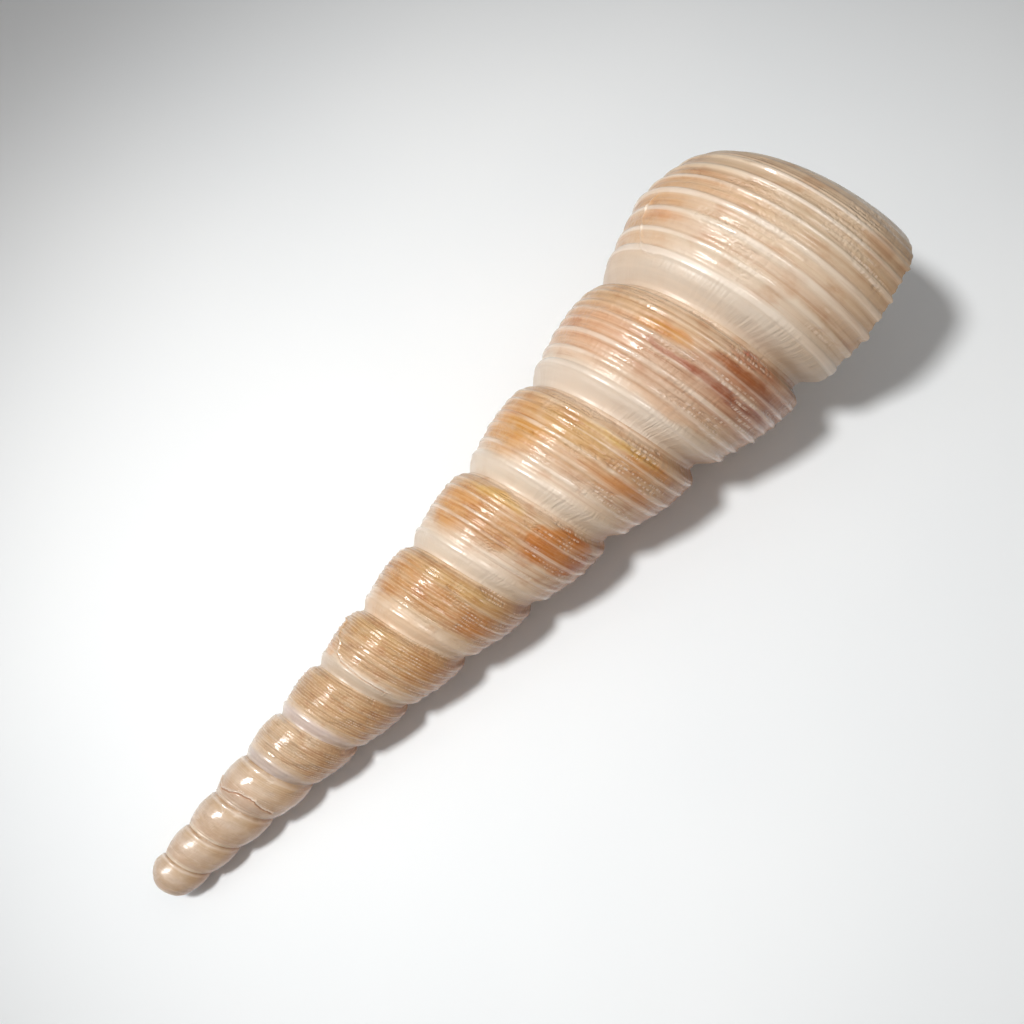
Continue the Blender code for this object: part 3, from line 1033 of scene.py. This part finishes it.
# Places seen from the camera: along the shell, down across it, towards the camera
WINDOW_AT = (-0.34, -0.97, 1.04)
WINDOW_WIDTH = 0.25
WINDOW_HEIGHT = 0.60
WINDOW_BRIGHTNESS = 50.0
CEILING_AT = (0.24, 0.03, 0.45)
CEILING_SIDE = 0.15
CEILING_BRIGHTNESS = 7.0
WINDOWS_AIM = (0.098, 0.0, 0.0)
CAMERA_AT = (0.10047, -0.00118, 0.13628)

PHOTO_TURN = 45.8396          # degrees between the shell's axis and the picture's side
PHOTO_LEAN = 0.0011
FOCAL_PIXELS = 1181.0
PICTURE_PIXELS = 1024.0
SENSOR = 36.0
CLIP_START = 0.005


def from_shell(along, across, towards):
    """A point given along the shell, down across the picture, and towards the camera."""
    return axis_matrix() @ Vector((along, -across, towards))


def make_floor(level):
    bpy.ops.mesh.primitive_grid_add(
        x_subdivisions=FLOOR_SQUARES, y_subdivisions=FLOOR_SQUARES, size=FLOOR_SIDE)
    floor = bpy.context.object
    floor.name = "floor"
    floor.location.z = level
    material = bpy.data.materials.new("pale_floor")
    nodes = Nodes(material)
    cloud = nodes.noise(nodes.node("ShaderNodeTexCoord").outputs["Object"], 9.0, 3.0)
    cloud = nodes.remap(cloud, 0.3, 0.7)
    nodes.shade(Base_Color=nodes.mix(cloud, linear(240, 242, 243), linear(246, 247, 247)), Roughness=0.6)
    floor.data.materials.append(material)
    floor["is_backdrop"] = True


def aimed(item, at, target):
    item.location = at
    item.rotation_mode = "QUATERNION"
    item.rotation_quaternion = (target - at).to_track_quat("-Z", "Y")
    bpy.context.scene.collection.objects.link(item)


def add_window(name, at, width, height, brightness):
    """A bright pane that is seen only in the gloss. brightness is its radiance."""
    light = bpy.data.lights.new(name, "AREA")
    light.shape = "RECTANGLE"
    light.size = width
    light.size_y = height
    light.energy = math.pi * width * height * brightness
    item = bpy.data.objects.new(name, light)
    item.visible_diffuse = False
    aimed(item, from_shell(*at), from_shell(*WINDOWS_AIM))


def make_room():
    """A grey room, paler overhead, in the plain view transform."""
    scene = bpy.context.scene
    scene.view_settings.view_transform = "Standard"
    scene.world = scene.world or bpy.data.worlds.new("room")
    scene.world.use_nodes = True
    tree = scene.world.node_tree
    way = tree.nodes.new("ShaderNodeTexCoord")
    split = tree.nodes.new("ShaderNodeSeparateXYZ")
    fade = tree.nodes.new("ShaderNodeValToRGB")
    tree.links.new(way.outputs["Generated"], split.inputs[0])
    tree.links.new(split.outputs["Z"], fade.inputs[0])
    tree.links.new(fade.outputs[0], tree.nodes["Background"].inputs["Color"])
    fade.color_ramp.elements[0].color = ROOM_HORIZON
    fade.color_ramp.elements[1].color = ROOM_OVERHEAD


def make_lights():
    lamp = bpy.data.lights.new("lamp", "SPOT")
    lamp.energy = LAMP_WATTS
    lamp.shadow_soft_size = LAMP_RADIUS
    lamp.spot_size = math.radians(LAMP_CONE)
    lamp.spot_blend = 1.0
    lamp.color = LAMP_COLOUR
    item = bpy.data.objects.new("lamp", lamp)
    item.visible_glossy = False
    aimed(item, Vector(LAMP_AT), Vector(LAMP_AIM))
    add_window("window", WINDOW_AT, WINDOW_WIDTH, WINDOW_HEIGHT, WINDOW_BRIGHTNESS)
    add_window("ceiling", CEILING_AT, CEILING_SIDE, CEILING_SIDE, CEILING_BRIGHTNESS)


def make_camera():
    data = bpy.data.cameras.new("camera")
    data.sensor_width = SENSOR
    data.lens = FOCAL_PIXELS / PICTURE_PIXELS * SENSOR
    data.clip_start = CLIP_START
    camera = bpy.data.objects.new("camera", data)
    bpy.context.scene.collection.objects.link(camera)
    turn = math.radians(PHOTO_TURN)
    right = Vector((math.cos(turn), -math.sin(turn), PHOTO_LEAN))
    up = Vector((math.sin(turn), math.cos(turn), PHOTO_LEAN))
    back = right.cross(up).normalized()
    right = up.cross(back).normalized()
    up = back.cross(right).normalized()
    axes = Matrix((right, up, back)).transposed().to_4x4()
    along, across, towards = CAMERA_AT
    camera.matrix_world = axis_matrix() @ Matrix.Translation((along, -across, towards)) @ axes
    bpy.context.scene.camera = camera


def main():
    shell = make_shell((ShellOutside().material, throat_material()))
    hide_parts("screw_shell")
    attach(shell, "root")
    make_floor(min(corner[2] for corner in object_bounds()))
    make_room()
    make_lights()
    make_camera()


main()
